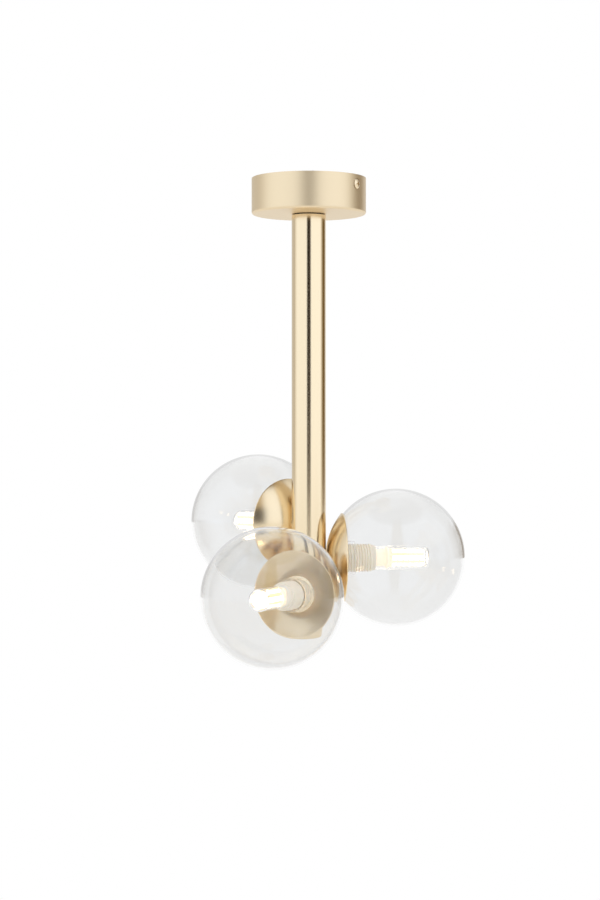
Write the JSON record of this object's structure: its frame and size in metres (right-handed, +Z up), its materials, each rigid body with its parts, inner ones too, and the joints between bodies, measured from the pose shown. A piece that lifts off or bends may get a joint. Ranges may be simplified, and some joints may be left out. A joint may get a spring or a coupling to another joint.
{
  "type": "semi flush ceiling light",
  "caption": "Semi flush ceiling light: a brass tube hangs from a round canopy and carries clear glass globes, each on a spherical brass cup with a capsule bulb.",
  "frame": {"origin": "middle of the canopy's rim on the ceiling plane", "axes": "+Z up into the ceiling; +X along the middle lamp's axis; the lowest lamp points to -120 degrees and the highest to +120 degrees about +Z"},
  "size_m": [0.2365, 0.2544, 0.4225],
  "materials": {
    "brass": "satin brushed and lacquered",
    "bare_brass": "bare, as turned",
    "zinc_steel": "bright zinc plate",
    "screw_steel": "bright zinc plate",
    "tinned_copper": "tinned",
    "contact_metal": "nickel plate",
    "dark_washer": "matte",
    "strip_plastic": "translucent white",
    "earth_insulation": "green with a yellow stripe",
    "lead_insulation": "smooth white",
    "ceramic": "glazed white",
    "barrel_plastic": "ivory, slightly translucent",
    "bulb_plastic": "cream white",
    "bulb_cover": "clear",
    "bulb_light": "glowing warm white",
    "clear_glass": "clear, polished"
  },
  "bodies": {
    "fixture": {"canopy": "brass", "mounting_bracket": "zinc_steel", "terminal_block": "strip_plastic", "terminal_tubes": "bare_brass", "terminal_screws": "screw_steel", "block_screw": "screw_steel", "earth_lug": "tinned_copper", "earth_screw": "bare_brass", "earth_wire": "earth_insulation", "top_nipple": "zinc_steel", "canopy_washer": "zinc_steel", "canopy_locknut": "zinc_steel", "tube_seat_washer": "dark_washer", "tube_top_plug": "bare_brass", "tube": "brass", "tube_end_cap": "brass", "lamp_nipples": "zinc_steel", "holder_lock_washers": "screw_steel", "holder_nuts": "zinc_steel", "boss_right": "brass", "cup_right": "brass", "barrel_right": "barrel_plastic", "socket_right": "ceramic", "contacts_right": "contact_metal", "leads_right": "lead_insulation", "boss_front": "brass", "cup_front": "brass", "barrel_front": "barrel_plastic", "socket_front": "ceramic", "contacts_front": "contact_metal", "leads_front": "lead_insulation", "boss_back": "brass", "cup_back": "brass", "barrel_back": "barrel_plastic", "socket_back": "ceramic", "contacts_back": "contact_metal", "leads_back": "lead_insulation"},
    "globe_right": {"globe_right": "clear_glass"},
    "bulb_right": {"bulb_base_right": "bulb_plastic", "bulb_cover_right": "bulb_cover", "bulb_core_right": "bulb_light", "bulb_pins_right": "contact_metal"},
    "globe_front": {"globe_front": "clear_glass"},
    "bulb_front": {"bulb_base_front": "bulb_plastic", "bulb_cover_front": "bulb_cover", "bulb_core_front": "bulb_light", "bulb_pins_front": "contact_metal"},
    "globe_back": {"globe_back": "clear_glass"},
    "bulb_back": {"bulb_base_back": "bulb_plastic", "bulb_cover_back": "bulb_cover", "bulb_core_back": "bulb_light", "bulb_pins_back": "contact_metal"},
    "canopy_screw_1": {"canopy_screw_1": "brass"},
    "canopy_screw_2": {"canopy_screw_2": "brass"}
  },
  "joints": [
    {"name": "globe_right_draw", "type": "slide", "parent": "fixture", "child": "globe_right", "axis": [1, 0, 0], "range_m": [0, 0.095]},
    {"name": "bulb_right_pull", "type": "slide", "parent": "fixture", "child": "bulb_right", "axis": [1, 0, 0], "range_m": [0, 0.016]},
    {"name": "globe_front_draw", "type": "slide", "parent": "fixture", "child": "globe_front", "axis": [-0.5, -0.866, 0], "range_m": [0, 0.095]},
    {"name": "bulb_front_pull", "type": "slide", "parent": "fixture", "child": "bulb_front", "axis": [-0.5, -0.866, 0], "range_m": [0, 0.016]},
    {"name": "globe_back_draw", "type": "slide", "parent": "fixture", "child": "globe_back", "axis": [-0.5, 0.866, 0], "range_m": [0, 0.095]},
    {"name": "bulb_back_pull", "type": "slide", "parent": "fixture", "child": "bulb_back", "axis": [-0.5, 0.866, 0], "range_m": [0, 0.016]},
    {"name": "canopy_screw_1_in", "type": "slide", "parent": "fixture", "child": "canopy_screw_1", "axis": [-0.766, 0.6428, 0], "range_m": [0, 0.0034]},
    {"name": "canopy_screw_2_in", "type": "slide", "parent": "fixture", "child": "canopy_screw_2", "axis": [0.766, -0.6428, 0], "range_m": [0, 0.0034]}
  ]
}
